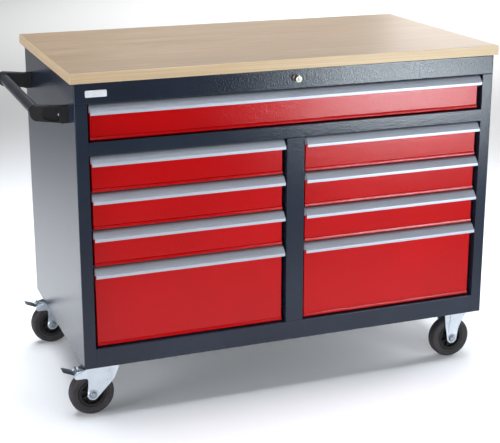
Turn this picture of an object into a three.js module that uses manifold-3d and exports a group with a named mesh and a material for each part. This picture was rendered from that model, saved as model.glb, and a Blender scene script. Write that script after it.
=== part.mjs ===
// Rolling tool chest: steel cabinet on two swivel and two fixed casters, with one wide
// drawer over two columns of four, a beech worktop and a push handle on its left side.
// Millimetres, +Z up, front towards -Y. Cabinet coordinates have their origin at the
// cabinet's left, front, bottom corner; the finished group is moved to the centre of
// its own footprint, on the floor.
import * as THREE from "three";
import { mergeVertices } from "three/addons/utils/BufferGeometryUtils.js";
import Module from "manifold-3d";

const wasm = await Module();
wasm.setup();

// ---- driving dimensions ----
const gap = 0.3; // clearance between neighbouring pieces
const sheet = 1.5; // cabinet sheet steel
const bodyWidth = 1228;
const bodyDepth = 664;
const bodyHeight = 787;

const topSide = 11; // worktop overhangs
const topFront = 6;
const topBack = 20;
const topThickness = 28;

const postWidth = 33; // outer posts, seen from the front
const postDepth = 60;
const midPostLeft = 588; // middle post, seen from the front
const midPostRight = 640;
const partitionDepth = 648;
const railDepth = 25;
const bottomRailTop = 55;
const midRailBottom = 595;
const midRailTop = 631;
const topRailBottom = 732;

const frontInset = 14; // drawer fronts sit this far behind the frame's face
const frontThickness = 20;
const frontSideGap = 8.5;
const gripSideGap = 6.5;
const frontRoll = 7; // radius along each front's lower edge
const drawerPitch = 103;
const smallDrawer = 100; // height over the grip
const firstDrawerTop = midRailBottom - 2.5;
const topDrawerBottom = 633;
const topDrawerTop = 729.5;
const lowestDrawerBottom = 57.5;

const runnerHeight = 30;
const runnerReach = 12.4; // how far a runner stands off its post
const runnerStart = 38;
const runnerEnd = 645;
const runnerRise = 43; // runner centre above the drawer's lower edge
const trayLift = 8; // tray floor above the drawer's lower edge
const trayBack = 600;
const trayRailHeight = 25;
const trayShortBy = 22; // tray walls end this far below the grip's top

const wheelRadius = 62.5;
const tyreWidth = 37;
const rimRadius = 40;
const hubRadius = 13;
const axleRadius = 5;
const floorDrop = 152; // cabinet underside above the floor
const axleHeight = wheelRadius - floorDrop;
const casterFrontY = 49;
const casterRearY = 588;
const swivelX = 71;
const trail = 45; // swivel axis to wheel axle
const fixedX = 1150;
const cheekThickness = 2.5;
const cheekInside = 21; // wheel centre plane to a fork cheek
const pedalX = 23; // brake pedal's pivot
const pedalZ = -22;
const pedalPin = 2.5;

const tubeRadius = 15;
const handleReach = 80; // side panel to the tube's centre line
const handleZ = 702;
const handleFront = 72;
const handleBack = 592;
const bracketWidth = 24;
const bracketRound = 20.5;
const socketDepth = 14;
const pocketDepth = 8.5; // hollow on each bracket's outer side

const lockX = bodyWidth / 2;
const lockZ = 761;
const lockProud = 16;
const lockRadius = 9;
const plugRadius = 6;

// ---- materials ----
function steel(color, roughness, metalness) {
  return new THREE.MeshStandardMaterial({ color, roughness, metalness });
}
const anthracite = () => steel("#3c434d", 0.55, 0.1);
const redCoat = () => steel("#b4060c", 0.4, 0.1);
const trayGrey = () => steel("#4a5058", 0.55, 0.1);
const aluminium = () => steel("#b4b9c3", 0.35, 0.9);
const zinc = () => steel("#c6ccd0", 0.35, 0.9);
const blackPlastic = () => steel("#17171a", 0.5, 0);
const rubber = () => steel("#2b2a2b", 0.8, 0);
const beech = () => steel("#d8bd93", 0.5, 0);
const nickel = () => steel("#c9c6bd", 0.25, 0.95);

// ---- solids ----
function toSolid(geometry) {
  const bare = geometry.clone();
  bare.deleteAttribute("normal");
  bare.deleteAttribute("uv");
  const merged = mergeVertices(bare, 1e-4);
  const vertProperties = merged.attributes.position.array;
  const triVerts = new Uint32Array(merged.index.array);
  return new wasm.Manifold(new wasm.Mesh({ numProp: 3, vertProperties, triVerts }));
}

function toGeometry(solid) {
  const mesh = solid.getMesh();
  const geometry = new THREE.BufferGeometry();
  geometry.setAttribute("position", new THREE.BufferAttribute(mesh.vertProperties, 3));
  geometry.setIndex(new THREE.BufferAttribute(mesh.triVerts, 1));
  const flat = geometry.toNonIndexed();
  flat.computeVertexNormals();
  return flat;
}

// Box between two corners.
function box(x0, x1, y0, y1, z0, z1) {
  const geometry = new THREE.BoxGeometry(x1 - x0, y1 - y0, z1 - z0);
  geometry.translate((x0 + x1) / 2, (y0 + y1) / 2, (z0 + z1) / 2);
  return toSolid(geometry);
}

function shapeOf(points) {
  return new THREE.Shape(points.map(([a, b]) => new THREE.Vector2(a, b)));
}

function extruded(shape, depth) {
  return new THREE.ExtrudeGeometry(shape, { depth, bevelEnabled: false, curveSegments: 6 });
}

// Prism whose outline is given in X and Y, from z0 to z1.
function prismZ(points, z0, z1) {
  const geometry = extruded(shapeOf(points), z1 - z0);
  geometry.translate(0, 0, z0);
  return toSolid(geometry);
}

// Prism whose outline is given in Y and Z, from x0 to x1.
function prismX(points, x0, x1) {
  const geometry = extruded(shapeOf(points), x1 - x0);
  geometry.rotateX(Math.PI / 2);
  geometry.rotateZ(Math.PI / 2);
  geometry.translate(x0, 0, 0);
  return toSolid(geometry);
}

// Prism whose outline is given in X and Z, from y0 to y1.
function prismGeometryY(points, y0, y1) {
  const geometry = extruded(shapeOf(points), y1 - y0);
  geometry.rotateX(Math.PI / 2);
  geometry.translate(0, y1, 0);
  return geometry;
}

function prismY(points, y0, y1) {
  return toSolid(prismGeometryY(points, y0, y1));
}

// Round bar along Y.
function barY(x, z, radius, y0, y1, sides = 24) {
  const geometry = new THREE.CylinderGeometry(radius, radius, y1 - y0, sides);
  geometry.translate(x, (y0 + y1) / 2, 0);
  geometry.translate(0, 0, z);
  return toSolid(geometry);
}

// Round bar along Z.
function barZ(x, y, radius, z0, z1, sides = 24) {
  const geometry = new THREE.CylinderGeometry(radius, radius, z1 - z0, sides);
  geometry.rotateX(Math.PI / 2);
  geometry.translate(x, y, (z0 + z1) / 2);
  return toSolid(geometry);
}

// Solid of revolution about an axle along Y; the profile holds [radius, offset] pairs.
function turnedY(profile, x, y, z, segments = 40) {
  const closed = [...profile, profile[0]];
  const points = closed.map(([radius, offset]) => new THREE.Vector2(radius, offset));
  const geometry = new THREE.LatheGeometry(points, segments);
  geometry.translate(x, y, z);
  return toSolid(geometry);
}

// Points on an arc, angles in degrees.
function arc(cx, cy, radius, from, to, steps) {
  const points = [];
  for (let i = 0; i <= steps; i += 1) {
    const angle = THREE.MathUtils.degToRad(from + ((to - from) * i) / steps);
    points.push([cx + radius * Math.cos(angle), cy + radius * Math.sin(angle)]);
  }
  return points;
}

const chest = new THREE.Group();

function addNode(name, material, solid) {
  const mesh = new THREE.Mesh(toGeometry(solid), material);
  mesh.name = name;
  chest.add(mesh);
}

// ---- cabinet ----
function addWorktop() {
  const bottom = bodyHeight + gap;
  const x1 = bodyWidth + topSide;
  const y1 = bodyDepth + topBack;
  addNode("worktop", beech(), box(-topSide, x1, -topFront, y1, bottom, bottom + topThickness));
}

// C-shaped runner on the left of a drawer, open towards +X, its back against x.
function runner(x, z) {
  const half = runnerHeight / 2;
  const outer = box(x - 0.5, x + runnerReach, runnerStart, runnerEnd, z - half, z + half);
  const inner = box(
    x + sheet, x + runnerReach + 1,
    runnerStart - 1, runnerEnd + 1,
    z - half + sheet, z + half - sheet,
  );
  return outer.subtract(inner);
}

function mirrored(solid, x) {
  return solid.mirror([1, 0, 0]).translate([2 * x, 0, 0]);
}

function drawerBottoms() {
  const bottoms = [0, 1, 2].map((row) => firstDrawerTop - row * drawerPitch - smallDrawer);
  return [...bottoms, lowestDrawerBottom];
}

function sidePanel() {
  const bend = arc(3, 3, 3, 180, 270, 4);
  const rearBend = arc(3, bodyDepth - 3, 3, 90, 180, 4);
  const outline = [
    ...bend,
    [postWidth, 0],
    [postWidth, postDepth],
    [postWidth - sheet, postDepth],
    [postWidth - sheet, sheet],
    [sheet, sheet],
    [sheet, bodyDepth - sheet],
    [postWidth - sheet, bodyDepth - sheet],
    [postWidth - sheet, bodyDepth - postDepth],
    [postWidth, bodyDepth - postDepth],
    [postWidth, bodyDepth],
    ...rearBend,
  ];
  const railSeat = box(4, postWidth + 1, -1, railDepth + 1, topRailBottom, bodyHeight + 1);
  const topFlange = box(0.5, 20, 30, bodyDepth - 20, bodyHeight - sheet, bodyHeight);
  const footZ = 6;
  const frontFoot = box(2, postWidth + 1, 2, postDepth + 1, -1, footZ);
  const rearFoot = box(2, postWidth + 1, bodyDepth - postDepth - 1, bodyDepth - 2, -1, footZ);
  let panel = prismZ(outline, 0, bodyHeight).subtract(railSeat).add(topFlange);
  panel = panel.subtract(frontFoot).subtract(rearFoot);
  const heights = [...drawerBottoms(), topDrawerBottom];
  for (const bottom of heights) {
    panel = panel.add(runner(postWidth, bottom + runnerRise));
  }
  return panel;
}

function addSidePanels() {
  const panel = sidePanel();
  addNode("left_side_panel", anthracite(), panel);
  addNode("right_side_panel", anthracite(), mirrored(panel, bodyWidth / 2));
}

function addBackPanel() {
  const x0 = postWidth + gap;
  const x1 = bodyWidth - postWidth - gap;
  const outer = box(x0, x1, 650, bodyDepth, gap, bodyHeight - gap);
  const inner = box(
    x0 + sheet, x1 - sheet,
    649, bodyDepth - sheet,
    gap + sheet, bodyHeight - gap - sheet,
  );
  addNode("back_panel", anthracite(), outer.subtract(inner));
}

function addFloorPan() {
  const x0 = postWidth + gap;
  const x1 = bodyWidth - postWidth - gap;
  const floorZ = 4;
  const floor = box(x0, x1, 0.5, 649, floorZ, floorZ + sheet);
  const wings = box(
    sheet + gap, bodyWidth - sheet - gap,
    postDepth + gap, bodyDepth - postDepth - gap,
    floorZ, floorZ + sheet,
  );
  const rail = box(x0, x1, 0, sheet, 0, bottomRailTop);
  const returnLip = box(x0, x1, 0.5, railDepth - 5, bottomRailTop - sheet, bottomRailTop);
  const rearLip = box(x0, x1, 649 - sheet, 649, floorZ, 30);
  const pan = floor.add(wings).add(rail).add(returnLip).add(rearLip);
  addNode("floor_pan", anthracite(), pan);
}

// Front rail with its face at y = 0 and two lips turned back.
function railSolid(x0, x1, z0, z1) {
  const outer = box(x0, x1, 0, railDepth, z0, z1);
  const inner = box(x0 - 1, x1 + 1, sheet, railDepth + 1, z0 + sheet, z1 - sheet);
  return outer.subtract(inner);
}

function addFrontRails() {
  const lockHole = barY(lockX, lockZ, 8.2, -1, 5);
  const topX = 4 + gap;
  const top = railSolid(topX, bodyWidth - topX, topRailBottom + gap, bodyHeight);
  addNode("top_rail", anthracite(), top.subtract(lockHole));
  const x0 = postWidth + gap;
  addNode("mid_rail", anthracite(), railSolid(x0, bodyWidth - x0, midRailBottom, midRailTop));
}

function addPartition() {
  const bottom = 4 + sheet + gap;
  const top = midRailBottom - gap;
  const centre = (midPostLeft + midPostRight) / 2;
  const halfPost = (midPostRight - midPostLeft) / 2;
  const post = (y0, y1, faceAtFront) => {
    const hollow = faceAtFront ? [y0 + sheet, y1 + 1] : [y0 - 1, y1 - sheet];
    const outer = box(centre - halfPost, centre + halfPost, y0, y1, bottom, top);
    const inner = box(
      centre - halfPost + sheet, centre + halfPost - sheet,
      hollow[0], hollow[1],
      bottom - 1, top + 1,
    );
    return outer.subtract(inner);
  };
  const web = box(centre - 0.75, centre + 0.75, 0.5, partitionDepth - 0.5, bottom, top);
  let wall = web
    .add(post(0, postDepth, true))
    .add(post(partitionDepth - postDepth, partitionDepth, false));
  for (const drawerBottom of drawerBottoms()) {
    const onRight = runner(midPostRight, drawerBottom + runnerRise);
    wall = wall.add(onRight).add(mirrored(onRight, centre));
  }
  const overRail = box(
    midPostLeft - 1, midPostRight + 1,
    -1, railDepth - 5 + gap,
    0, bottomRailTop + gap,
  );
  const overLip = box(midPostLeft - 1, midPostRight + 1, 645, 650, 0, 31);
  addNode("centre_partition", anthracite(), wall.subtract(overRail).subtract(overLip));
}

// ---- drawers ----
function frontSolid(x0, x1, bottom, top) {
  const y0 = frontInset;
  const y1 = frontInset + frontThickness;
  const profile = (inset, back) => [
    [back, top - inset],
    [y0 + inset, top - inset],
    ...arc(y0 + frontRoll, bottom + frontRoll, frontRoll - inset, 180, 270, 5),
    [back, bottom + inset],
  ];
  const outer = prismX(profile(0, y1), x0, x1);
  const inner = prismX(profile(sheet, y1 + 1), x0 + sheet, x1 - sheet);
  return outer.subtract(inner);
}

function gripSolid(x0, x1, top) {
  const face = frontInset;
  const outline = [
    [20, 0],
    [0, 0],
    [-9, -2.7],
    [-22, -14],
    [-22, -26],
    [-20, -26],
    [-20, -14.9],
    [-8.3, -4.7],
    [-2.3, -3],
    [-2.3, -22],
    [-gap, -22],
    [-gap, -2],
    [20, -2],
  ];
  return prismX(outline.map(([y, z]) => [face + y, top + z]), x0, x1);
}

function traySolid(x0, x1, bottom, top) {
  const y0 = frontInset + frontThickness + gap;
  const left = x0 + runnerReach + 0.6;
  const right = x1 - runnerReach - 0.6;
  const floorZ = bottom + trayLift;
  const rimZ = top - trayShortBy;
  const outer = box(left, right, y0, trayBack, floorZ, rimZ);
  const inner = box(left + sheet, right - sheet, y0 + sheet, trayBack - sheet, floorZ + sheet, rimZ + 1);
  const railZ = bottom + runnerRise;
  const half = trayRailHeight / 2;
  const rail = box(x0 + sheet + 1.5, left + 0.5, y0 + 3, trayBack, railZ - half, railZ + half).subtract(
    box(x0, left - 1.2, y0, trayBack + 1, railZ - half + 1.2, railZ + half - 1.2),
  );
  return outer.subtract(inner).add(rail).add(mirrored(rail, (x0 + x1) / 2));
}

// One drawer in the opening from x0 to x1.
function addDrawer(label, x0, x1, bottom, top) {
  addNode(`tray_${label}`, trayGrey(), traySolid(x0, x1, bottom, top));
  const front = frontSolid(x0 + frontSideGap, x1 - frontSideGap, bottom, top - 2.3);
  addNode(`front_${label}`, redCoat(), front);
  addNode(`grip_${label}`, aluminium(), gripSolid(x0 + gripSideGap, x1 - gripSideGap, top));
}

function addDrawers() {
  addDrawer("top", postWidth, bodyWidth - postWidth, topDrawerBottom, topDrawerTop);
  const columns = [
    ["left", postWidth, midPostLeft],
    ["right", midPostRight, bodyWidth - postWidth],
  ];
  for (const [side, x0, x1] of columns) {
    drawerBottoms().forEach((bottom, row) => {
      const top = firstDrawerTop - row * drawerPitch;
      addDrawer(`${side}_${row + 1}`, x0, x1, bottom, top);
    });
  }
}

// ---- casters ----
function addWheel(label, x, y) {
  const half = tyreWidth / 2;
  const rim = [
    [axleRadius + 0.06, -half],
    [hubRadius, -half],
    [hubRadius, -4],
    [rimRadius - 9, -4],
    [rimRadius - 9, 3 - half],
    [rimRadius, 3 - half],
    [rimRadius, half - 3],
    [rimRadius - 9, half - 3],
    [rimRadius - 9, 4],
    [hubRadius, 4],
    [hubRadius, half],
    [axleRadius + 0.06, half],
  ];
  const tyre = [
    [rimRadius + gap, 2 - half],
    [wheelRadius - 12, -half],
    [wheelRadius - 4, 2.5 - half],
    [wheelRadius, 8 - half],
    [wheelRadius, half - 8],
    [wheelRadius - 4, half - 2.5],
    [wheelRadius - 12, half],
    [rimRadius + gap, half - 2],
  ];
  addNode(`rim_${label}`, blackPlastic(), turnedY(rim, x, y, axleHeight, 24));
  addNode(`tyre_${label}`, rubber(), turnedY(tyre, x, y, axleHeight, 40));
}

// Bolt along Y through both cheeks, with a hexagon head in front and a nut behind.
function addAxle(label, x, y) {
  const reach = cheekInside + cheekThickness + gap;
  const bolt = barY(x, axleHeight, axleRadius, y - reach - 1, y + reach + 9, 24)
    .add(barY(x, axleHeight, 9.6, y - reach - 6, y - reach, 6))
    .add(barY(x, axleHeight, 9.6, y + reach, y + reach + 7, 6));
  addNode(`axle_${label}`, zinc(), bolt);
}

function axleHole(x, y) {
  return barY(x, axleHeight, axleRadius + gap, y - 40, y + 40, 24);
}

function addCasterPlate(label, y) {
  const plate = box(swivelX - 52.5, swivelX + 52.5, y - 40, y + 40, 0.7, 3.7);
  const pin = barZ(swivelX, y, 12, -11, 1).add(barZ(swivelX, y, 16, -13, -10));
  addNode(`caster_plate_${label}`, zinc(), plate.add(pin));
}

function addSwivelFork(label, y) {
  const wheelX = swivelX - trail;
  const crownZ = -9.5;
  const cheek = [
    [104, -6.5],
    [8, -6.5],
    [7, -16],
    [-20, -25.5],
    [-25, -29],
    [-24, -34],
    [-18, -38],
    [8, -38.5],
    [14, -42],
    [16, -48],
    ...arc(wheelX, axleHeight, 16, 195, 320, 8),
    [86, -52],
    [100, -16],
  ];
  let fork = box(8, 104, y - 23.5, y + 23.5, crownZ, -6.5);
  for (const side of [-1, 1]) {
    const inside = y + side * cheekInside;
    const outside = y + side * (cheekInside + cheekThickness);
    fork = fork.add(prismY(cheek, Math.min(inside, outside), Math.max(inside, outside)));
  }
  fork = fork.add(barZ(swivelX, y, 36, -8, 0.4, 32));
  fork = fork.subtract(barZ(swivelX, y, 12 + gap, -20, 5));
  fork = fork.subtract(axleHole(wheelX, y));
  fork = fork.subtract(barY(pedalX, pedalZ, pedalPin + gap, y - 40, y + 40, 16));
  addNode(`swivel_fork_${label}`, zinc(), fork);
}

function addBrakePedal(label, y) {
  const lever = [
    [28, -17.5],
    [5, -17.5],
    [-23, -26],
    [-48.5, -13.5],
    [-50, -16],
    [-23.5, -29.4],
    [0.5, -22],
    [2, -27.2],
    [8, -27.2],
    [10, -21.5],
    [17, -25.2],
    [28, -25.2],
  ];
  const pin = barY(pedalX, pedalZ, pedalPin, y - 23.5, y + 23.5, 16);
  addNode(`brake_pedal_${label}`, zinc(), prismY(lever, y - 19.5, y + 19.5).add(pin));
}

function addFixedFork(label, y) {
  let fork = box(fixedX - 52.5, fixedX + 52.5, y - 40, y + 40, 0.7, 3.7);
  const lower = [
    [fixedX - 24, -43],
    [fixedX - 21, -60],
    ...arc(fixedX, axleHeight, 16, 190, 350, 8),
    [fixedX + 21, -60],
    [fixedX + 27, -43],
  ];
  const upper = [
    [fixedX - 36, 1.2],
    [fixedX - 32, -12],
    [fixedX - 24, -44.5],
    [fixedX + 27, -44.5],
    [fixedX + 36, -12],
    [fixedX + 41, 1.2],
  ];
  for (const side of [-1, 1]) {
    const inside = y + side * cheekInside;
    const outside = y + side * (cheekInside + cheekThickness);
    const y0 = Math.min(inside, outside);
    const y1 = Math.max(inside, outside);
    const flare = new THREE.Matrix4().makeTranslation(0, (side * 44.5 * 14) / 45, 0);
    const lean = new THREE.Matrix4().makeShear(0, 0, 0, 0, 0, (side * 14) / 45);
    const leaning = prismGeometryY(upper, y0, y1).applyMatrix4(lean).applyMatrix4(flare);
    fork = fork.add(prismY(lower, y0, y1)).add(toSolid(leaning));
  }
  addNode(`fixed_fork_${label}`, zinc(), fork.subtract(axleHole(fixedX, y)));
}

function addCasters() {
  const rows = [
    ["front", casterFrontY],
    ["rear", casterRearY],
  ];
  for (const [row, y] of rows) {
    addCasterPlate(`${row}_left`, y);
    addSwivelFork(`${row}_left`, y);
    addBrakePedal(`${row}_left`, y);
    addAxle(`${row}_left`, swivelX - trail, y);
    addWheel(`${row}_left`, swivelX - trail, y);
    addFixedFork(`${row}_right`, y);
    addAxle(`${row}_right`, fixedX, y);
    addWheel(`${row}_right`, fixedX, y);
  }
}

// ---- push handle ----
function bracketSolid(y0, y1, socket, pocket) {
  const arm = [
    [-gap, 671],
    [-gap, 716],
    [-20, 716],
    [-22, 716],
    ...arc(-handleReach, handleZ, bracketRound, 90, 270, 10),
    [-22, 673],
    [-20, 671],
  ];
  const hollow = [
    [-25, 677],
    [-25, 712],
    [-58, 717],
    [-67, 713],
    [-70, 703],
    [-67, 689],
    [-58, 683],
  ];
  const body = prismY(arm, y0, y1);
  const seat = barY(-handleReach, handleZ, tubeRadius + gap, socket[0], socket[1], 32);
  return body.subtract(seat).subtract(prismY(hollow, pocket[0], pocket[1]));
}

function addHandle() {
  const innerFront = handleFront + bracketWidth;
  const innerBack = handleBack - bracketWidth;
  const front = bracketSolid(
    handleFront, innerFront,
    [innerFront - socketDepth, innerFront + 1],
    [handleFront - 1, handleFront + pocketDepth],
  );
  const rear = bracketSolid(
    innerBack, handleBack,
    [innerBack - 1, innerBack + socketDepth],
    [handleBack - pocketDepth, handleBack + 1],
  );
  addNode("handle_bracket_front", blackPlastic(), front);
  addNode("handle_bracket_rear", blackPlastic(), rear);
  const y0 = innerFront - socketDepth + gap;
  const y1 = innerBack + socketDepth - gap;
  const wall = 2;
  const tube = barY(-handleReach, handleZ, tubeRadius, y0, y1, 32)
    .subtract(barY(-handleReach, handleZ, tubeRadius - wall, y0 - 1, y1 + 1, 32));
  addNode("handle_tube", blackPlastic(), tube);
}

// ---- lock ----
function addLock() {
  const barrel = barY(lockX, lockZ, lockRadius, -lockProud, -gap, 32)
    .add(barY(lockX, lockZ, 7.9, -1, 20, 32))
    .subtract(barY(lockX, lockZ, plugRadius + 0.2, -lockProud - 1, 21, 32));
  addNode("lock_housing", nickel(), barrel);
  const keyway = box(lockX - 0.9, lockX + 0.9, -20, -10, lockZ - 3.8, lockZ + 3.8);
  const cam = box(lockX, lockX + 26, 20.3, 22.3, lockZ - 5, lockZ + 5);
  const plug = barY(lockX, lockZ, plugRadius, -lockProud - 0.5, 22.3, 24)
    .subtract(keyway)
    .add(cam);
  addNode("lock_plug", nickel(), plug);
}

addWorktop();
addSidePanels();
addBackPanel();
addFloorPan();
addFrontRails();
addPartition();
addDrawers();
addCasters();
addHandle();
addLock();

// Move the chest so that its footprint is centred on the origin, on the floor.
const bounds = new THREE.Box3().setFromObject(chest);
const centre = bounds.getCenter(new THREE.Vector3());
chest.position.set(-centre.x, -centre.y, -bounds.min.z);

export default chest;
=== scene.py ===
import math

import bmesh
import bpy
from mathutils import Matrix, Vector


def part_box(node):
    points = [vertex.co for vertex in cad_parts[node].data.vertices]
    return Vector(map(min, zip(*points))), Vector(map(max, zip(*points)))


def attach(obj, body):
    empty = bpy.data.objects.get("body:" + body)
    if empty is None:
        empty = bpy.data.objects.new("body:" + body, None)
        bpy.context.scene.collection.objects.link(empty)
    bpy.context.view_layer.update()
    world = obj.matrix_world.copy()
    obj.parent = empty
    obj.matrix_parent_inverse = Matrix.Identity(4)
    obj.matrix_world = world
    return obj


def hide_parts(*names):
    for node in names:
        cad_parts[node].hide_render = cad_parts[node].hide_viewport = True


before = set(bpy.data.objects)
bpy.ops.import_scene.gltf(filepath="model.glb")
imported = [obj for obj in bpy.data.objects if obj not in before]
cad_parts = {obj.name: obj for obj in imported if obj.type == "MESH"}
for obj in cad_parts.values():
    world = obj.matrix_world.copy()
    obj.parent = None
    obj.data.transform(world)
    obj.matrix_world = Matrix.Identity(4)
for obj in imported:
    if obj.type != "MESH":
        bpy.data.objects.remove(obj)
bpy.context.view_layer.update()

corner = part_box("left_side_panel")[0]  # the cabinet's left, front, bottom corner
place = Matrix.Translation(corner) @ Matrix.Scale(0.001, 4)  # cabinet millimetres to metres
drawerNames = ["top"] + [f"{side}_{row}" for side in ("left", "right") for row in (1, 2, 3, 4)]
print("frame loaded:", len(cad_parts), "nodes")


def linear(hexColour):
    channels = []
    for start in (1, 3, 5):
        level = int(hexColour[start:start + 2], 16) / 255
        channels.append(level / 12.92 if level <= 0.04045 else ((level + 0.055) / 1.055) ** 2.4)
    return (*channels, 1.0)


def addNode(tree, kind, settings=None, inputs=None):
    made = tree.nodes.new(kind)
    for key, value in (settings or {}).items():
        if key == "ramp":  # (position, hex colour) pairs
            stops = made.color_ramp.elements
            while len(stops) < len(value):
                stops.new(0.5)
            for stop, (position, hexColour) in zip(stops, value):
                stop.position = position
                stop.color = linear(hexColour)
        else:
            setattr(made, key, value)
    for key, value in (inputs or {}).items():
        if isinstance(value, bpy.types.NodeSocket):
            tree.links.new(value, made.inputs[key])
        else:
            made.inputs[key].default_value = value
    return made


def startMaterial(name, sockets):
    material = bpy.data.materials.new(name)
    material.use_nodes = True
    tree = material.node_tree
    shader = tree.nodes["Principled BSDF"]
    for key, value in sockets.items():
        shader.inputs[key].default_value = value
    position = addNode(tree, "ShaderNodeTexCoord").outputs["Object"]
    return material, tree, shader, position


def fromNode(name):
    bm = bmesh.new()
    bm.from_mesh(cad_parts[name].data)
    bm.transform(place.inverted())
    bmesh.ops.remove_doubles(bm, verts=bm.verts, dist=0.01)
    bmesh.ops.dissolve_limit(bm, angle_limit=math.radians(1), verts=bm.verts, edges=bm.edges)
    return bm


def addBlock(bm, low, high):
    size = Vector(high) - Vector(low)
    middle = (Vector(high) + Vector(low)) / 2
    matrix = Matrix.Translation(middle) @ Matrix.Diagonal((*size, 1))
    return bmesh.ops.create_cube(bm, size=1, matrix=matrix)["verts"]


def addOutline(bm, points, start, travel):
    # a flat outline of (x, y, z) points moved to start and drawn out along travel
    verts = [bm.verts.new(Vector(p) + Vector(start)) for p in points]
    face = bm.faces.new(verts)
    moved = bmesh.ops.extrude_face_region(bm, geom=[face])["geom"]
    far = [v for v in moved if isinstance(v, bmesh.types.BMVert)]
    bmesh.ops.translate(bm, verts=far, vec=travel)
    return verts + far


def addTurned(bm, profile, centre, axis, steps):
    # profile: (radius, distance along the axis) all round a ring, or from pole to pole
    along = Vector(axis)
    out = Vector((1, 0, 0))  # every turned shape stands on Y or Z
    verts = [bm.verts.new(Vector(centre) + out * r + along * d) for r, d in profile]
    pairs = list(zip(verts, verts[1:]))
    if profile[0][0] > 0:
        pairs.append((verts[-1], verts[0]))
    edges = [bm.edges.new(pair) for pair in pairs]
    bmesh.ops.spin(
        bm, geom=verts + edges, cent=centre, axis=axis, dvec=(0, 0, 0),
        angle=2 * math.pi, steps=steps, use_merge=True, use_duplicate=False,
    )


def addCone(bm, radius1, radius2, centre, axis, depth, segments):
    turn = Vector((0, 0, 1)).rotation_difference(Vector(axis)).to_matrix().to_4x4()
    bmesh.ops.create_cone(
        bm, cap_ends=True, segments=segments, radius1=radius1, radius2=radius2,
        depth=depth, matrix=Matrix.Translation(Vector(centre)) @ turn,
    )


def faceWidth(face):
    return 2 * face.calc_area() / face.calc_perimeter()


def sharpEdges(bm, degrees=30, test=None):
    found = []
    for edge in bm.edges:
        if len(edge.link_faces) != 2 or edge.calc_face_angle(0) < math.radians(degrees):
            continue
        if test is None or test(edge):
            found.append(edge)
    return found


def roundEdges(bm, edges, radius, segments=2):
    if edges:
        bmesh.ops.bevel(
            bm, geom=edges, offset=radius, offset_type="OFFSET", affect="EDGES",
            segments=segments, profile=0.5, material=-1, clamp_overlap=True,
        )


def finishPiece(bm, name, body, replaced, materials, smooth=32, pick=None):
    bmesh.ops.remove_doubles(bm, verts=bm.verts, dist=0.002)
    bmesh.ops.dissolve_degenerate(bm, dist=0.001, edges=bm.edges)
    bmesh.ops.recalc_face_normals(bm, faces=bm.faces)
    if pick:
        for face in bm.faces:
            face.material_index = pick(face)
    bm.transform(place)
    mesh = bpy.data.meshes.new(name)
    bm.to_mesh(mesh)
    bm.free()
    for material in materials:
        mesh.materials.append(material)
    mesh.shade_smooth()
    mesh.set_sharp_from_angle(angle=math.radians(smooth))
    piece = bpy.data.objects.new(name, mesh)
    bpy.context.scene.collection.objects.link(piece)
    weighted = piece.modifiers.new("evenShading", "WEIGHTED_NORMAL")
    weighted.keep_sharp = True
    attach(piece, body)
    if replaced:
        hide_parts(*replaced)


# Powder-coated sheet steel: sprayed dry and baked, so it has a fine orange peel and a satin sheen.
def powderCoat(name, look):
    material, tree, shader, position = startMaterial(name, {
        "IOR": 1.5, "Specular IOR Level": look["specular"],
        "Coat Weight": look["coat"], "Coat Roughness": look["coatRoughness"],
    })
    drift = addNode(tree, "ShaderNodeTexNoise", {}, {
        "Vector": position, "Scale": look["driftScale"], "Detail": 3.0})
    colour = addNode(tree, "ShaderNodeValToRGB", {"ramp": [
        (0.3, look["dark"]), (0.7, look["light"])]}, {"Fac": drift.outputs["Fac"]})
    peel = addNode(tree, "ShaderNodeTexNoise", {}, {
        "Vector": position, "Scale": look["peelScale"], "Detail": 4.0, "Roughness": 0.6})
    grit = addNode(tree, "ShaderNodeTexVoronoi", {}, {
        "Vector": position, "Scale": look["gritScale"]})
    height = addNode(tree, "ShaderNodeMath", {"operation": "ADD"}, {
        0: peel.outputs["Fac"], 1: grit.outputs["Distance"]})
    bump = addNode(tree, "ShaderNodeBump", {}, {
        "Strength": look["bump"], "Distance": 0.0006, "Height": height.outputs[0]})
    rough = addNode(tree, "ShaderNodeMapRange", {}, {
        "Value": peel.outputs["Fac"], "To Min": look["rough"] - 0.05, "To Max": look["rough"] + 0.07})
    tree.links.new(colour.outputs["Color"], shader.inputs["Base Color"])
    tree.links.new(rough.outputs[0], shader.inputs["Roughness"])
    tree.links.new(bump.outputs["Normal"], shader.inputs["Normal"])
    return material


# grains are 1 mm on the real coat and drawn at about 4 mm, so that they show
anthraciteCoat = powderCoat("anthracitePowderCoat", {
    "dark": "#1c2330", "light": "#222a38", "driftScale": 5.0, "peelScale": 260.0, "specular": 0.31,
    "gritScale": 240.0, "bump": 0.42, "rough": 0.2, "coat": 0.0, "coatRoughness": 0.22})
redCoat = powderCoat("redPowderCoat", {
    "dark": "#ac0003", "light": "#b50004", "driftScale": 4.0, "peelScale": 260.0, "specular": 0.26,
    "gritScale": 240.0, "bump": 0.4, "rough": 0.19, "coat": 0.0, "coatRoughness": 0.2})
trayCoat = powderCoat("darkGreyPowderCoat", {
    "dark": "#23272e", "light": "#2b3038", "driftScale": 6.0, "peelScale": 420.0, "specular": 0.3,
    "gritScale": 380.0, "bump": 0.2, "rough": 0.5, "coat": 0.1, "coatRoughness": 0.3})
handleCoat = powderCoat("graphitePowderCoat", {
    "dark": "#2c2d31", "light": "#35363b", "driftScale": 9.0, "peelScale": 600.0, "specular": 0.5,
    "gritScale": 500.0, "bump": 0.08, "rough": 0.36, "coat": 0.2, "coatRoughness": 0.3})


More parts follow.
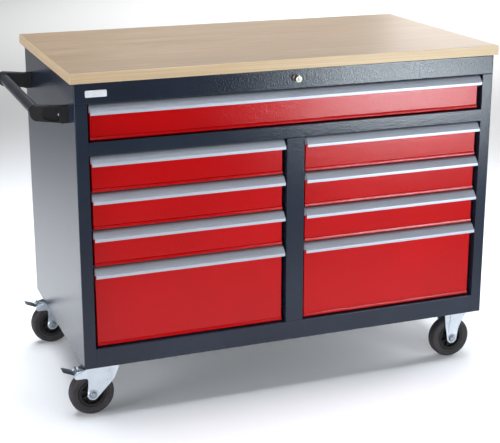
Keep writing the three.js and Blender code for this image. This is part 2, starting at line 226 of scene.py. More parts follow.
# Beech: sliced lengthways and oiled, so it has long fine streaks and short dark flecks.
def beech(name, look):
    material, tree, shader, position = startMaterial(name, {
        "IOR": 1.47, "Coat Weight": look["coat"], "Coat Roughness": 0.3})
    stretched = addNode(tree, "ShaderNodeMapping", {}, {
        "Vector": position, "Scale": look["streak"]})
    streaks = addNode(tree, "ShaderNodeTexNoise", {}, {
        "Vector": stretched.outputs[0], "Scale": 1.0, "Detail": 6.0, "Roughness": 0.62,
        "Distortion": 0.6})
    figureMap = addNode(tree, "ShaderNodeMapping", {}, {
        "Vector": position, "Scale": look["figure"]})
    figure = addNode(tree, "ShaderNodeTexNoise", {}, {
        "Vector": figureMap.outputs[0], "Scale": 1.0, "Detail": 2.0, "Distortion": 1.2})
    rings = addNode(tree, "ShaderNodeMath", {"operation": "PINGPONG"}, {
        0: figure.outputs["Fac"], 1: look["ring"]})
    ringLevel = addNode(tree, "ShaderNodeMath", {"operation": "MULTIPLY"}, {
        0: rings.outputs[0], 1: look["ringDepth"] / look["ring"]})
    blend = addNode(tree, "ShaderNodeMath", {"operation": "ADD"}, {
        0: streaks.outputs["Fac"], 1: ringLevel.outputs[0]})
    colour = addNode(tree, "ShaderNodeValToRGB", {"ramp": look["ramp"]}, {"Fac": blend.outputs[0]})
    fleckMap = addNode(tree, "ShaderNodeMapping", {}, {
        "Vector": position, "Scale": look["fleck"]})
    flecks = addNode(tree, "ShaderNodeTexVoronoi", {}, {"Vector": fleckMap.outputs[0], "Scale": 1.0})
    fleckLevel = addNode(tree, "ShaderNodeMapRange", {}, {
        "Value": flecks.outputs["Distance"], "From Min": 0.05, "From Max": 0.22,
        "To Min": look["fleckDepth"], "To Max": 0.0})
    surface = addNode(tree, "ShaderNodeMix", {"data_type": "RGBA", "blend_type": "MULTIPLY"}, {
        0: fleckLevel.outputs[0], 6: colour.outputs["Color"], 7: linear("#8f6a48")})
    bump = addNode(tree, "ShaderNodeBump", {}, {
        "Strength": 0.12, "Distance": 0.0005, "Height": streaks.outputs["Fac"]})
    rough = addNode(tree, "ShaderNodeMapRange", {}, {
        "Value": streaks.outputs["Fac"], "To Min": look["rough"] - 0.06, "To Max": look["rough"] + 0.08})
    tree.links.new(surface.outputs[2], shader.inputs["Base Color"])
    tree.links.new(rough.outputs[0], shader.inputs["Roughness"])
    tree.links.new(bump.outputs["Normal"], shader.inputs["Normal"])
    return material


beechTop = beech("oiledBeechVeneer", {
    "streak": (2.2, 90.0, 90.0), "figure": (0.9, 9.0, 9.0), "ring": 0.045, "ringDepth": 0.10,
    "ramp": [(0.35, "#8c7358"), (0.55, "#9f876b"), (0.8, "#b29b81")],
    "fleck": (140.0, 620.0, 620.0), "fleckDepth": 0.35, "rough": 0.36, "coat": 0.2})
# the edge shows the stacked layers, drawn about 3 mm thick
beechEdge = beech("beechLayeredEdge", {
    "streak": (1.6, 1.6, 330.0), "figure": (0.6, 0.6, 60.0), "ring": 0.08, "ringDepth": 0.10,
    "ramp": [(0.35, "#bfa27a"), (0.55, "#c9af8a"), (0.8, "#d4bf9f")],
    "fleck": (120.0, 120.0, 620.0), "fleckDepth": 0.25, "rough": 0.5, "coat": 0.08})


# Metals: a scratch or cloud pattern moves the roughness, and a faint bump breaks the shine.
def metal(name, look):
    material, tree, shader, position = startMaterial(name, {"Metallic": look.get("metallic", 1.0)})
    stretched = addNode(tree, "ShaderNodeMapping", {}, {
        "Vector": position, "Scale": look["stretch"]})
    marks = addNode(tree, "ShaderNodeTexNoise", {}, {
        "Vector": stretched.outputs[0], "Scale": 1.0, "Detail": 5.0, "Roughness": 0.6})
    colour = addNode(tree, "ShaderNodeValToRGB", {"ramp": [
        (0.3, look["dark"]), (0.7, look["light"])]}, {"Fac": marks.outputs["Fac"]})
    rough = addNode(tree, "ShaderNodeMapRange", {}, {
        "Value": marks.outputs["Fac"], "From Min": 0.3, "From Max": 0.7,
        "To Min": look["rough"] - look["vary"], "To Max": look["rough"] + look["vary"]})
    bump = addNode(tree, "ShaderNodeBump", {}, {
        "Strength": look["bump"], "Distance": 0.0003, "Height": marks.outputs["Fac"]})
    tree.links.new(colour.outputs["Color"], shader.inputs["Base Color"])
    tree.links.new(rough.outputs[0], shader.inputs["Roughness"])
    tree.links.new(bump.outputs["Normal"], shader.inputs["Normal"])
    return material


# extruded and anodised: die lines run along the bar
anodised = metal("anodisedAluminium", {
    "dark": "#a9aeb7", "light": "#b4b9c2", "stretch": (3.0, 900.0, 900.0), "metallic": 0.6,
    "rough": 0.5, "vary": 0.05, "bump": 0.12})
# zinc plate with a pale blue passivation, slightly cloudy
zinc = metal("zincPlatedSteel", {
    "dark": "#c3ccd4", "light": "#d3dae0", "stretch": (60.0, 60.0, 60.0),
    "rough": 0.33, "vary": 0.08, "bump": 0.10})
boltZinc = metal("zincPlatedBolt", {
    "dark": "#8f979e", "light": "#a3abb2", "stretch": (120.0, 120.0, 120.0),
    "rough": 0.3, "vary": 0.06, "bump": 0.08})
# the caster's zinc plate made darker for the brake pedal's tread: painted shade, as the tread lies on the
# shadow side
pedalShadeZinc = metal("zincPlateWithPaintedShade", {
    "dark": "#6f7987", "light": "#8d97a4", "stretch": (80.0, 80.0, 80.0),
    "rough": 0.4, "vary": 0.08, "bump": 0.12})
nickel = metal("nickelPlatedBrass", {
    "dark": "#8d8a7e", "light": "#9d9a8f", "stretch": (150.0, 150.0, 150.0),
    "rough": 0.3, "vary": 0.04, "bump": 0.03})


# Moulded: a matt skin with a fine grain, greyed where it is handled or rolls.
def moulded(name, look):
    material, tree, shader, position = startMaterial(name, {
        "IOR": look["ior"], "Specular IOR Level": look["specular"]})
    dust = addNode(tree, "ShaderNodeTexNoise", {}, {
        "Vector": position, "Scale": look["dustScale"], "Detail": 5.0})
    grain = addNode(tree, "ShaderNodeTexNoise", {}, {
        "Vector": position, "Scale": look["grainScale"], "Detail": 2.0})
    colour = addNode(tree, "ShaderNodeValToRGB", {"ramp": [
        (0.35, look["dark"]), (0.7, look["light"])]}, {"Fac": dust.outputs["Fac"]})
    rough = addNode(tree, "ShaderNodeMapRange", {}, {
        "Value": dust.outputs["Fac"], "To Min": look["rough"] - 0.07, "To Max": look["rough"] + 0.07})
    bump = addNode(tree, "ShaderNodeBump", {}, {
        "Strength": look["bump"], "Distance": 0.0004, "Height": grain.outputs["Fac"]})
    tree.links.new(colour.outputs["Color"], shader.inputs["Base Color"])
    tree.links.new(rough.outputs[0], shader.inputs["Roughness"])
    tree.links.new(bump.outputs["Normal"], shader.inputs["Normal"])
    return material


blackNylon = moulded("blackNylon", {
    "ior": 1.53, "specular": 0.3, "dark": "#131416", "light": "#1c1d20", "dustScale": 30.0,
    "grainScale": 900.0, "rough": 0.45, "bump": 0.18})
rimPlastic = moulded("blackPolypropylene", {
    "ior": 1.49, "specular": 0.3, "dark": "#101011", "light": "#19181a", "dustScale": 40.0,
    "grainScale": 900.0, "rough": 0.5, "bump": 0.12})
tyreRubber = moulded("greyBlackRubber", {
    "ior": 1.52, "specular": 0.3, "dark": "#2f2c2e", "light": "#3b3739", "dustScale": 55.0,
    "grainScale": 1100.0, "rough": 0.62, "bump": 0.25})
# a black block for the key slot, its face just proud of the plug's face: painted shade for the dark inside of
# the keyhole
keywayShadePaint = moulded("paintedKeywayShade", {
    "ior": 1.5, "specular": 0.0, "dark": "#050505", "light": "#0c0b0a", "dustScale": 300.0,
    "grainScale": 900.0, "rough": 0.9, "bump": 0.05})
plateWhite = moulded("whiteSatinPlate", {
    "ior": 1.46, "specular": 0.3, "dark": "#d9dce0", "light": "#e6e8eb", "dustScale": 60.0,
    "grainScale": 700.0, "rough": 0.35, "bump": 0.05})
print("materials made")


worktopLook = {"edgeRadius": 1.8, "segments": 3}
low, high = [place.inverted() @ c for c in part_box("worktop")]
bm = bmesh.new()
addBlock(bm, low, high)
roundEdges(bm, sharpEdges(bm), worktopLook["edgeRadius"], worktopLook["segments"])
finishPiece(bm, "worktopBoard", "cabinet", ["worktop"], [beechTop, beechEdge],
            pick=lambda face: 0 if abs(face.normal.z) > 0.8 else 1)
print("worktop made")


# the cabinet: folded and welded sheet, rounded at its bends
cabinetLook = {"bendRadius": 2.2, "bendSteps": 3, "leastPanel": 5.0}


def sheetPiece(node):
    bm = fromNode(node)
    wide = cabinetLook["leastPanel"]  # narrower faces are cut edges of the sheet and stay sharp
    bends = sharpEdges(bm, 60, lambda e: e.is_convex and all(faceWidth(f) > wide for f in e.link_faces))
    roundEdges(bm, bends, cabinetLook["bendRadius"], cabinetLook["bendSteps"])
    finishPiece(bm, node + "_sheet", "cabinet", [node], [anthraciteCoat])


for node in ("left_side_panel", "right_side_panel", "back_panel", "floor_pan", "top_rail",
             "mid_rail", "centre_partition"):
    sheetPiece(node)
print("cabinet made")


# A folded sheet with a proud bead rolled along the bottom: a bright line over a dark strip.
# Each loop is (depth, side inset, bottom inset, corner radius) of the outline, from the face to
# the bend; the last depth is the back of the sheet. The bead is (depth, height) above the bottom.
frontLook = {
    "cornerSteps": 5, "beadEnd": 1.5,
    "loops": [(0.0, 1.3, 1.3, 3.0), (0.2, 0.7, 0.7, 3.4), (0.6, 0.25, 0.25, 3.8), (1.3, 0.0, 0.0, 4.0)],
    "bead": [(0.8, 10.2), (-0.2, 9.9), (-1.1, 9.2), (-1.8, 8.2), (-2.7, 3.2), (-2.7, 2.2),
             (-2.2, 1.0), (-1.1, 0.3), (0.8, 0.1)]}
# the grip's outline as (depth, height) from the front's face and the grip's top
gripLook = {
    "grooves": 8, "grooveDepth": 0.35, "groove": [(0.0, 0), (0.55, 0), (0.65, 1), (0.85, 1)],
    "slope": [(-8.6, -3.7), (-20.7, -16.4)],
    "upper": [(20.0, 0.0), (1.5, 0.0), (-2.5, -0.4), (-5.2, -1.2), (-7.4, -2.6)],
    "lower": [(-20.9, -16.6), (-21.7, -17.5), (-22.0, -18.5), (-22.0, -25.3), (-21.6, -25.9),
              (-21.0, -26.0), (-20.4, -25.7), (-20.2, -25.0), (-20.2, -18.8), (-7.2, -5.1),
              (-2.3, -3.0), (-2.3, -22.0), (-0.3, -22.0), (-0.3, -2.0), (20.0, -2.0)],
    "reach": 22}


def drawerFront(name):
    node = f"front_{name}"
    look = frontLook
    low, high = [place.inverted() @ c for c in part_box(node)]
    bm = bmesh.new()
    loops = []
    backDepth = high.y - low.y
    for depth, side, base, radius in look["loops"] + [(backDepth, 0.0, 0.0, look["loops"][-1][3])]:
        x0, x1, z0 = low.x + side, high.x - side, low.z + base
        outline = [(x1, high.z), (x0, high.z)]
        for cx, first in ((x0 + radius, 180), (x1 - radius, 270)):
            for i in range(look["cornerSteps"] + 1):
                angle = math.radians(first + 90 * i / look["cornerSteps"])
                outline.append((cx + radius * math.cos(angle), z0 + radius + radius * math.sin(angle)))
        loops.append([bm.verts.new((x, low.y + depth, z)) for x, z in outline])
    for near, far in zip(loops, loops[1:]):
        for i in range(len(near)):
            j = (i + 1) % len(near)
            bm.faces.new((near[i], near[j], far[j], far[i]))
    bm.faces.new(loops[0])
    bm.faces.new(loops[-1])
    bead = addOutline(bm, [(0.0, y, z) for y, z in look["bead"]], low, (high.x - low.x, 0, 0))
    ends = [e for e in bm.edges if e.verts[0] in bead and e.verts[1] in bead
            and abs(e.verts[0].co.x - e.verts[1].co.x) < 0.01 and e.verts[0].co.y < low.y + 0.5]
    roundEdges(bm, ends, look["beadEnd"], 3)
    finishPiece(bm, f"drawerFront_{name}", f"drawer_{name}", [node], [redCoat], smooth=24)


def gripProfile(faceY, topZ):
    look = gripLook
    points = list(look["upper"])
    start, end = [Vector(p) for p in look["slope"]]
    run = end - start
    across = Vector((-run.y, run.x)).normalized() * look["grooveDepth"]
    for i in range(look["grooves"]):
        for part, deep in look["groove"]:
            points.append(tuple(start + run * ((i + part) / look["grooves"]) + across * deep))
    return [(0.0, faceY + y, topZ + z) for y, z in points + look["lower"]]


def drawerGrip(name):
    node = f"grip_{name}"
    low, high = [place.inverted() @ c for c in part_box(node)]
    bm = bmesh.new()
    profile = gripProfile(low.y + gripLook["reach"], high.z)
    addOutline(bm, profile, (low.x, 0, 0), (high.x - low.x, 0, 0))
    finishPiece(bm, f"gripBar_{name}", f"drawer_{name}", [node], [anodised], smooth=40)


def drawerTray(name):
    node = f"tray_{name}"
    bm = fromNode(node)
    finishPiece(bm, f"drawerTray_{name}", f"drawer_{name}", [node], [trayCoat])


for name in drawerNames:
    drawerFront(name)
    drawerGrip(name)
    drawerTray(name)
print("drawers made")


# the lock: a barrel in the top rail with a plug that turns a cam behind it
lockLook = {
    "at": (614, 0, 761), "turn": -12,
    "barrel": [(6.2, -16.0), (9.0, -16.0), (9.0, -1.6), (11.2, -1.6), (11.2, 0.0), (7.9, 0.0),
               (7.9, 20.0), (6.2, 20.0)],
    "plug": [(1.2, -15.2), (5.9, -15.2), (5.9, 22.0), (1.2, 22.0)],
    "keySlot": ((-1.3, -15.35, -3.9), (1.3, -9, 3.9)), "cam": ((0, 20.3, -5), (26, 22.3, 5))}
lockAt = Vector(lockLook["at"])

bm = bmesh.new()
addTurned(bm, lockLook["barrel"], lockAt, (0, 1, 0), 40)
roundEdges(bm, sharpEdges(bm, 40), 0.6, 2)
finishPiece(bm, "lockBarrel", "cabinet", ["lock_housing"], [nickel])

bm = bmesh.new()
addTurned(bm, lockLook["plug"], lockAt, (0, 1, 0), 32)
roundEdges(bm, sharpEdges(bm, 40), 0.4, 2)
slotVerts = addBlock(bm, *[lockAt + Vector(c) for c in lockLook["keySlot"]])
addBlock(bm, *[lockAt + Vector(c) for c in lockLook["cam"]])
turn = Matrix.Rotation(math.radians(lockLook["turn"]), 3, "Y")
bmesh.ops.rotate(bm, verts=slotVerts, cent=lockAt, matrix=turn)
slotFaces = {f for v in slotVerts for f in v.link_faces}
slotCentres = [f.calc_center_median() for f in slotFaces]
# the slot block's faces take the black keyway material, which is painted shade for the keyhole
finishPiece(bm, "lockPlug", "lock_core", ["lock_plug"], [nickel, keywayShadePaint],
            pick=lambda f: int(any((f.calc_center_median() - c).length < 0.01 for c in slotCentres)))

# a blank name plate, dished inside its border
plateLook = {"x": (29, 86), "z": (750, 768), "corner": 3.0, "thick": 0.9, "border": 2.2,
             "bevel": 0.4, "dish": -0.35}
bm = bmesh.new()
(x0, x1), (z0, z1) = plateLook["x"], plateLook["z"]
addBlock(bm, (x0, -plateLook["thick"], z0), (x1, -0.02, z1))
roundEdges(bm, sharpEdges(bm, 60, lambda e: abs(e.verts[0].co.y - e.verts[1].co.y) > 0.5),
           plateLook["corner"], 4)
face = min(bm.faces, key=lambda f: f.calc_center_median().y)
bmesh.ops.inset_region(bm, faces=[face], thickness=plateLook["border"], depth=0)
bmesh.ops.inset_region(bm, faces=[face], thickness=plateLook["bevel"], depth=plateLook["dish"])
finishPiece(bm, "blankNamePlate", "cabinet", [], [plateWhite], smooth=25)
print("lock and plate made")


# the push handle: a tube between two moulded brackets
handleLook = {
    "soften": 1.6, "tube": (-80, 0, 702), "tubeRadius": 15, "tubeBore": 13,
    "screw": (-26.2, 4.2, 695), "screwRadius": 4.0, "screwRise": 3.2, "socket": 1.9,
    "collarStart": 14, "collar": [(15.15, 0), (18.6, 0), (18.0, 2.2), (15.3, 2.6)]}


def handleBracket(node, outerY, side):
    look = handleLook
    bm = fromNode(node)
    roundEdges(bm, sharpEdges(bm, 50, lambda e: e.is_convex and e.calc_length() > 3
                              and all(faceWidth(f) > 4 for f in e.link_faces)), look["soften"], 3)
    finishPiece(bm, f"{node}_moulding", "cabinet", [node], [blackNylon])
    bm = bmesh.new()
    x, inwards, z = look["screw"]
    y = outerY + side * inwards
    radius, rise = look["screwRadius"], look["screwRise"]
    addCone(bm, radius, radius - 0.8, (x, y, z), (-1, 0, 0), rise, 24)
    addCone(bm, look["socket"], look["socket"], (x - 1.2, y, z), (-1, 0, 0), rise / 2, 6)
    roundEdges(bm, sharpEdges(bm, 50, lambda e: e.calc_length() < 1.3), 0.3, 1)
    finishPiece(bm, f"{node}_screw", "cabinet", [], [zinc])


handleBracket("handle_bracket_front", (place.inverted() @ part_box("handle_bracket_front")[0]).y, 1)
handleBracket("handle_bracket_rear", (place.inverted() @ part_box("handle_bracket_rear")[1]).y, -1)

low, high = [place.inverted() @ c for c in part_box("handle_tube")]
radius, bore = handleLook["tubeRadius"], handleLook["tubeBore"]
bm = bmesh.new()
addTurned(bm, [(bore, low.y), (radius, low.y), (radius, high.y), (bore, high.y)],
          handleLook["tube"], (0, 1, 0), 56)
roundEdges(bm, sharpEdges(bm, 50), 0.4, 1)
finishPiece(bm, "handleTube", "cabinet", ["handle_tube"], [handleCoat])
# a collar round the tube where it enters each bracket
for node, tubeEnd, side in (("front", low.y, 1), ("rear", high.y, -1)):
    start = tubeEnd + side * handleLook["collarStart"]
    bm = bmesh.new()
    addTurned(bm, [(r, start + side * d) for r, d in handleLook["collar"]],
              handleLook["tube"], (0, 1, 0), 48)
    finishPiece(bm, f"handleCollar_{node}", "cabinet", [], [blackNylon])
print("handle made")


# the casters, in millimetres from the cabinet's corner
axleZ = -89.5
rowY = {"front": 49, "rear": 588}
# the tyre's side and the rim's section as (radius, distance from the middle)
wheelLook = {
    "radius": 62.5, "ribs": 8, "ribThick": 2.2, "ribReach": (12, 31.6), "ribDepth": (3.5, 12.5),
    "tyre": [(40.3, 14.8), (42.2, 16.4), (44.0, 16.4), (44.8, 15.6), (46.4, 15.6), (47.4, 16.9),
             (51.0, 17.7), (51.8, 17.2), (53.0, 17.3), (53.8, 18.1), (57.2, 17.4), (59.6, 15.6),
             (61.3, 13.0), (62.2, 9.6), (62.4, 9.0), (62.0, 8.6), (62.0, 8.0), (62.45, 7.6)],
    "rim": [(5.1, 18.5), (12.2, 18.5), (13.0, 17.7), (13.0, 4), (31.0, 4), (31.0, 14.6),
            (32.0, 15.6), (38.6, 15.6), (39.8, 14.4)]}


def mirrored(section):
    return [(r, -d) for r, d in section] + list(reversed(section))


def wheel(name, x, y):
    look = wheelLook
    centre = Vector((x, y, axleZ))
    bm = bmesh.new()
    side = look["tyre"]
    profile = [(r, -d) for r, d in side] + [(look["radius"], 0.0)] + list(reversed(side))
    addTurned(bm, profile, centre, (0, 1, 0), 96)
    finishPiece(bm, f"tyreTread_{name}", f"wheel_{name}", [f"tyre_{name}"], [tyreRubber], smooth=28)

    bm = bmesh.new()
    addTurned(bm, mirrored(look["rim"]), centre, (0, 1, 0), 72)
    thick = look["ribThick"] / 2
    start, end = look["ribReach"]
    for i in range(look["ribs"]):
        turn = Matrix.Rotation(2 * math.pi * (i + 0.5) / look["ribs"], 3, "Y")
        for outer in (-1, 1):
            inner, far = sorted(outer * d for d in look["ribDepth"])
            verts = addBlock(bm, centre + Vector((start, inner, -thick)), centre + Vector((end, far, thick)))
            bmesh.ops.rotate(bm, verts=verts, cent=centre, matrix=turn)
    finishPiece(bm, f"wheelRim_{name}", f"wheel_{name}", [f"rim_{name}"], [rimPlastic],
                smooth=28)


# shaft and hexagon radii, the washer's radii and thickness, and the height of the head and the nut
boltLook = {"shaft": 4.95, "across": 9.4, "washer": (10.2, 9.8, 1.4), "ends": ((-1, 5.2), (1, 6.4)),
            "cheek": 23.8, "cap": (0.86, 0.78, 0.9)}


def axleBolt(name, x, y, body):
    look = boltLook
    shaft, across = look["shaft"], look["across"]
    outer, inner, thick = look["washer"]
    low, high = [place.inverted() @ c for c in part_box(f"axle_{name}")]
    bm = bmesh.new()
    addCone(bm, shaft, shaft, (x, (low.y + high.y) / 2, axleZ), (0, 1, 0), high.y - low.y - 1, 24)
    for side, depth in look["ends"]:
        facing = (0, side, 0)
        start = y + side * look["cheek"]
        middle = start + side * (thick + depth / 2 - 0.8)
        capAt = start + side * (depth + 0.4)
        base, tip, rise = look["cap"]
        addCone(bm, outer, inner, (x, start + side * thick / 2, axleZ), facing, thick, 32)
        addCone(bm, across, across, (x, middle, axleZ), facing, depth - 0.8, 6)
        addCone(bm, across * base, across * tip, (x, capAt, axleZ), facing, rise, 24)
    roundEdges(bm, sharpEdges(bm, 55, lambda e: e.calc_length() > 4), 0.35, 1)
    finishPiece(bm, f"axleBolt_{name}", body, [f"axle_{name}"], [boltZinc])


# the plate's half sizes, its two faces, and where its bolts sit
plateSteel = {"half": (52.5, 40), "faces": (0.7, 3.7), "corner": 8, "bolts": (41, 30),
              "washer": 8.4, "nut": 7.4}


def mountingPlate(bm, x, y):
    look = plateSteel
    (halfX, halfY), (under, top), (boltX, boltY) = look["half"], look["faces"], look["bolts"]
    addBlock(bm, (x - halfX, y - halfY, under), (x + halfX, y + halfY, top))
    uprights = sharpEdges(bm, 60, lambda e: abs(e.verts[0].co.z - e.verts[1].co.z) > 2)
    roundEdges(bm, uprights, look["corner"], 5)
    roundEdges(bm, sharpEdges(bm, 60), 0.5, 2)
    for dx in (-boltX, boltX):
        for dy in (-boltY, boltY):
            addCone(bm, look["washer"], look["washer"], (x + dx, y + dy, 0.0), (0, 0, -1), 1.4, 28)
            addCone(bm, look["nut"], look["nut"], (x + dx, y + dy, -2.6), (0, 0, -1), 4.0, 6)


# the fork sheets: thickness, half width between them, edge softening, and the boss round the axle
forkLook = {"sheet": 2.5, "inside": 21, "soften": 0.7, "boss": 13.5, "bossStart": 23.3, "bossRise": 1.4}


def boss(bm, x, y, side):
    radius = forkLook["boss"]
    start = y + side * forkLook["bossStart"]
    top = start + side * forkLook["bossRise"]
    ring = [(10.4, start), (radius + 1.4, start), (radius, top), (11.6, top)]
    addTurned(bm, ring, (x, 0, axleZ), (0, 1, 0), 40)


# outlines are (x, z), pins are (x, z, radius), and the tread rises as it runs out from the lever
pedalLook = {
    "half": 19.3, "wall": 1.4,
    "floor": [(-22.5, -25.6), (28, -17.8), (28, -19.4), (-23, -27.6)],
    "cheek": [(-23, -26.5), (28, -18.6), (28, -13.5), (9, -13.5), (-21, -22.5)],
    "pins": [(23, -22, 2.5), (-14, -19.5, 3.2)], "block": ((-6, -10, -22.5), (6, 10, -14.5)),
    "treadFrom": (-23.0, -25.6), "treadRun": (-31.5, 12.5), "treadWide": (1.12, 0.10),
    "treadSteps": 9, "treadRound": (0.82, 0.19, 0.45), "treadCrown": 1.6, "treadSheet": 2.2}


def brakePedal(name, y):
    look = pedalLook
    half = look["half"]
    bm = bmesh.new()
    addOutline(bm, [(x, 0, z) for x, z in look["floor"]], (0, y - half, 0), (0, 2 * half, 0))
    for side in (-1, 1):
        start = y + side * half
        addOutline(bm, [(x, 0, z) for x, z in look["cheek"]], (0, start, 0), (0, -side * look["wall"], 0))
    roundEdges(bm, sharpEdges(bm, 50, lambda e: e.calc_length() > 8), 0.4, 2)
    finishPiece(bm, f"brakeLever_{name}", f"pedal_{name}", [], [zinc])

    bm = bmesh.new()
    for x, z, radius in look["pins"]:
        addCone(bm, radius, radius, (x, y, z), (0, 1, 0), 2 * half - 1, 20)
    addBlock(bm, *[Vector(c) + Vector((0, y, 0)) for c in look["block"]])
    roundEdges(bm, sharpEdges(bm, 50, lambda e: e.calc_length() > 7), 1.2, 3)
    finishPiece(bm, f"brakeLeverPins_{name}", f"pedal_{name}", [], [zinc])

    # the tread: a plate crowned across, cranked upwards and rounded at its tip
    bm = bmesh.new()
    (startX, startZ), (runX, runZ), (wide, narrowing) = look["treadFrom"], look["treadRun"], look["treadWide"]
    roundFrom, roundRun, roundDepth = look["treadRound"]
    strips = []
    for i in range(look["treadSteps"] + 1):
        part = i / look["treadSteps"]
        x = startX + runX * part
        z = startZ + runZ * part ** 0.9
        reach = half * (wide - narrowing * part)
        if part > roundFrom:
            reach *= math.sqrt(1 - ((part - roundFrom) / roundRun) ** 2) * roundDepth + 1 - roundDepth
        strips.append([bm.verts.new((x, y + reach * u, z + look["treadCrown"] * (1 - u * u)))
                       for u in (-1, -0.6, 0, 0.6, 1)])
    for near, far in zip(strips, strips[1:]):
        for k in range(4):
            bm.faces.new((near[k], near[k + 1], far[k + 1], far[k]))
    bmesh.ops.solidify(bm, geom=list(bm.faces), thickness=look["treadSheet"])
    # the tread's darker zinc is painted shade
    finishPiece(bm, f"brakePedalPressing_{name}", f"pedal_{name}", [f"brake_pedal_{name}"], [pedalShadeZinc],
                smooth=50)


def eyeArc(x, first, last, step):
    # the round lower end of a fork sheet, about the axle
    angles = [math.radians(a) for a in range(first, last, step)]
    return [(x + 16 * math.cos(a), axleZ + 16 * math.sin(a)) for a in angles]


# the plate's king pin and ball race and the fork's race are (radius, z) about the swivel
swivelLook = {
    "turnX": 71, "axleX": 26, "crown": ((8.4, -9.5), (103, -6.5)), "pivot": (23, 23.9, -22),
    "kingPin": [(0, -13.4), (11.0, -13.4), (13.5, -12.4), (13.5, -10.2), (11.9, -10.2), (11.9, 0.9),
                (0, 0.9)],
    "upperRace": [(20, 0.9), (37, 0.9), (37.6, -0.6), (36.6, -2.6), (33.0, -3.4), (20, -3.4)],
    "lowerRace": [(18, -6.6), (18, -4.2), (30.0, -4.2), (33.6, -5.2), (35.0, -6.6)],
    "front": [(8, -6.5), (7, -16), (-20, -25.5), (-25, -29), (-24, -34), (-18, -38.6), (14, -38.6),
              (13.4, -60), (10.6, -86)],
    "rear": [(87, -50), (101, -17), (103, -6.5)],
    "rounded": {(14.0, -38.6): 8.0, (-24.0, -34.0): 3.0, (-25.0, -29.0): 1.5, (101.0, -17.0): 3.0,
                (87.0, -50.0): 8.0}}


def swivelFork(row, y):
    name, look = f"{row}_left", swivelLook
    turnAt = (look["turnX"], y, 0)
    bm = bmesh.new()
    mountingPlate(bm, look["turnX"], y)
    addTurned(bm, look["kingPin"], turnAt, (0, 0, 1), 32)
    addTurned(bm, look["upperRace"], turnAt, (0, 0, 1), 48)
    finishPiece(bm, f"swivelPlate_{name}", "cabinet", [f"caster_plate_{name}"], [zinc])

    bm = bmesh.new()
    outline = look["front"] + eyeArc(look["axleX"], 185, 321, 9) + look["rear"]
    for side in (-1, 1):
        start = y + side * forkLook["inside"]
        addOutline(bm, [(x, 0, z) for x, z in outline], (0, start, 0), (0, side * forkLook["sheet"], 0))
    for (cx, cz), reach in look["rounded"].items():
        corners = [e for e in bm.edges
                   if all(abs(v.co.x - cx) < 0.1 and abs(v.co.z - cz) < 0.1 for v in e.verts)]
        roundEdges(bm, corners, reach, 5)
    (x0, z0), (x1, z1) = look["crown"]
    out = forkLook["inside"] + forkLook["sheet"]
    addBlock(bm, (x0, y - out, z0), (x1, y + out, z1))
    roundEdges(bm, sharpEdges(bm, 60, lambda e: e.calc_length() > 12), forkLook["soften"], 2)
    addTurned(bm, look["lowerRace"], turnAt, (0, 0, 1), 48)
    pivotX, pivotOut, pivotZ = look["pivot"]
    for side in (-1, 1):
        boss(bm, look["axleX"], y, side)
        addCone(bm, 2.9, 2.5, (pivotX, y + side * pivotOut, pivotZ), (0, side, 0), 1.0, 16)
    finishPiece(bm, f"swivelForkSheet_{name}", f"fork_{name}", [f"swivel_fork_{name}"], [zinc])

    brakePedal(name, y)
    wheel(name, look["axleX"], y)
    axleBolt(name, look["axleX"], y, f"fork_{name}")


# (distance from the axle, z) of the sheet's edge and of the panel pressed out of it; above
# flareZ the sheet leans out to the plate
fixedLook = {
    "axleX": 1150, "flareZ": -44.5, "flareOut": 14 / 45,
    "edge": [(36, 1.2), (32, -12), (24, -44), (21, -60)],
    "edgeBack": [(21, -60), (27, -44), (36, -12), (41, 1.2)],
    "panel": [(15, -4), (12.5, -30), (12.5, -70)], "panelRound": (12.5, 5, -70), "panelRise": (1, 3.2)}


def fixedFork(row, y):
    name, look = f"{row}_right", fixedLook
    x = look["axleX"]
    outline = [(x - out, z) for out, z in look["edge"]] + eyeArc(x, 190, 351, 10)
    outline += [(x + out, z) for out, z in look["edgeBack"]]
    wide, deep, level = look["panelRound"]
    raised = [(x - out, z) for out, z in look["panel"]]
    raised += [(x + wide * math.cos(math.radians(a)), level + deep * math.sin(math.radians(a)))
               for a in range(160, 19, -20)]
    raised += [(x + out, z) for out, z in reversed(look["panel"])]
    bm = bmesh.new()
    for side in (-1, 1):
        start = y + side * forkLook["inside"]
        before = set(bm.verts)
        addOutline(bm, [(px, 0, pz) for px, pz in outline], (0, start, 0), (0, side * forkLook["sheet"], 0))
        roundEdges(bm, sharpEdges(bm, 40, lambda e: not (set(e.verts) & before)), forkLook["soften"], 2)
        done = set(bm.verts)
        rise, thick = look["panelRise"]
        addOutline(bm, [(px, 0, pz) for px, pz in raised], (0, start + side * rise, 0), (0, side * thick, 0))
        roundEdges(bm, sharpEdges(bm, 40, lambda e: not (set(e.verts) & done)
                                  and all(side * (v.co.y - start) > 4 for v in e.verts)), 1.5, 3)
        made = [v for v in bm.verts if v not in before]
        edges = [e for e in bm.edges if e.verts[0] not in before]
        faces = [f for f in bm.faces if f.verts[0] not in before]
        bmesh.ops.bisect_plane(bm, geom=made + edges + faces, dist=0.001,
                               plane_co=(0, 0, look["flareZ"]), plane_no=(0, 0, 1))
        for v in bm.verts:
            if v not in before and v.co.z > look["flareZ"]:
                v.co.y += side * (v.co.z - look["flareZ"]) * look["flareOut"]
        boss(bm, x, y, side)
    mountingPlate(bm, x, y)
    finishPiece(bm, f"fixedForkSheet_{name}", "cabinet", [f"fixed_fork_{name}"], [zinc])
    wheel(name, x, y)
    axleBolt(name, x, y, "cabinet")


for row, y in rowY.items():
    swivelFork(row, y)
    fixedFork(row, y)
print("casters made")


# floor, light and camera, in metres
stageLook = {"floor": "#fbfbfb", "floorSize": 60.0, "world": "#eef4ff", "worldStrength": 0.04}
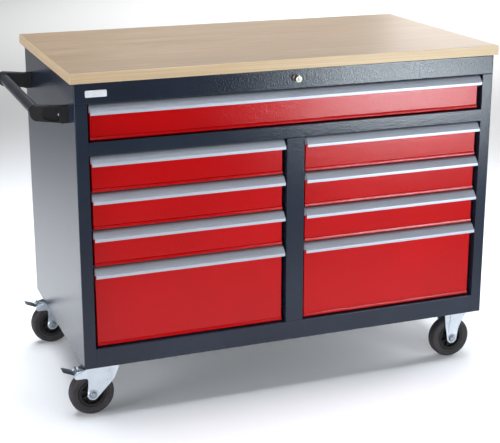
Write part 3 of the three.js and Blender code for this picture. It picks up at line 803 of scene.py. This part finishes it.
# overhead lights the floor and board, the panels give the sheens on the fronts, the left side and
# the board's far end, and the rest keep the floor and the right side from going dark
lights = {
    "overhead": {"at": (-0.3, 0.6, 3.9), "to": (-0.3, 0.4, 0.0), "size": (4.2, 3.0), "watts": 64,
                 "spread": 72, "colour": "#f4f8ff"},
    "frontFill": {"at": (-0.9, -4.3, 1.5), "to": (-0.1, -0.3, 0.6), "size": (1.7, 1.5), "watts": 8.2,
                  "spread": 56, "colour": "#ffffff"},
    "rightPanel": {"at": (1.25, -2.0, 0.58), "to": (0.42, -0.33, 0.80), "size": (0.76, 0.44),
                   "watts": 7.2, "spread": 90, "colour": "#eff9ff"},
    "leftPanel": {"at": (-2.7, -0.6, 0.78), "to": (-0.6, 0.0, 0.7), "size": (1.3, 1.3), "watts": 12.5,
                  "spread": 95, "colour": "#f1f5ff"},
    "backdrop": {"at": (4.5, 6.7, 4.2), "to": (4.2, 6.2, 0.0), "size": (7.2, 7.0), "watts": 330,
                 "spread": 140, "colour": "#ffffff"},
    "backRight": {"at": (3.3, 3.75, 1.72), "to": (0.4, 0.1, 0.75), "size": (1.6, 1.2), "watts": 2.8,
                  "spread": 80, "colour": "#ffffff"},
    "rightSide": {"at": (3.6, 0.5, 1.5), "to": (0.6, 0.2, 0.55), "size": (1.6, 1.6), "watts": 16,
                  "spread": 75, "colour": "#f4f8ff"},
}
cameraLook = {"at": (-1.2262, -3.3517, 1.5471), "yaw": 20.62, "pitch": 16.25, "lens": 88.2, "shiftY": -0.06}

bm = bmesh.new()
bmesh.ops.create_grid(bm, x_segments=1, y_segments=1, size=stageLook["floorSize"] / 2)
mesh = bpy.data.meshes.new("studioFloor")
bm.to_mesh(mesh)
bm.free()
floorPaint = bpy.data.materials.new("paleFloor")
floorPaint.use_nodes = True
floorShader = floorPaint.node_tree.nodes["Principled BSDF"]
floorShader.inputs["Base Color"].default_value = linear(stageLook["floor"])
floorShader.inputs["Roughness"].default_value = 0.9
mesh.materials.append(floorPaint)
floor = bpy.data.objects.new("studioFloor", mesh)
bpy.context.scene.collection.objects.link(floor)

world = bpy.data.worlds.new("studioWorld")
world.use_nodes = True
background = world.node_tree.nodes["Background"]
background.inputs["Color"].default_value = linear(stageLook["world"])
background.inputs["Strength"].default_value = stageLook["worldStrength"]
bpy.context.scene.world = world

for name, light in lights.items():
    data = bpy.data.lights.new(name, "AREA")
    data.shape = "RECTANGLE"
    data.size, data.size_y = light["size"]
    data.energy = light["watts"]
    data.spread = math.radians(light["spread"])
    data.color = linear(light["colour"])[:3]
    lamp = bpy.data.objects.new(name, data)
    lamp.location = light["at"]
    aim = Vector(light["to"]) - Vector(light["at"])
    lamp.rotation_euler = aim.to_track_quat("-Z", "Y").to_euler()
    lamp.visible_camera = False
    bpy.context.scene.collection.objects.link(lamp)
bpy.context.scene.view_settings.view_transform = "Standard"

cameraData = bpy.data.cameras.new("studioCamera")
cameraData.lens = cameraLook["lens"]
cameraData.sensor_width = 36
cameraData.shift_y = cameraLook["shiftY"]
camera = bpy.data.objects.new("studioCamera", cameraData)
camera.location = cameraLook["at"]
camera.rotation_euler = (math.radians(90 - cameraLook["pitch"]), 0, math.radians(-cameraLook["yaw"]))
bpy.context.scene.collection.objects.link(camera)
bpy.context.scene.camera = camera

print("scene ready")
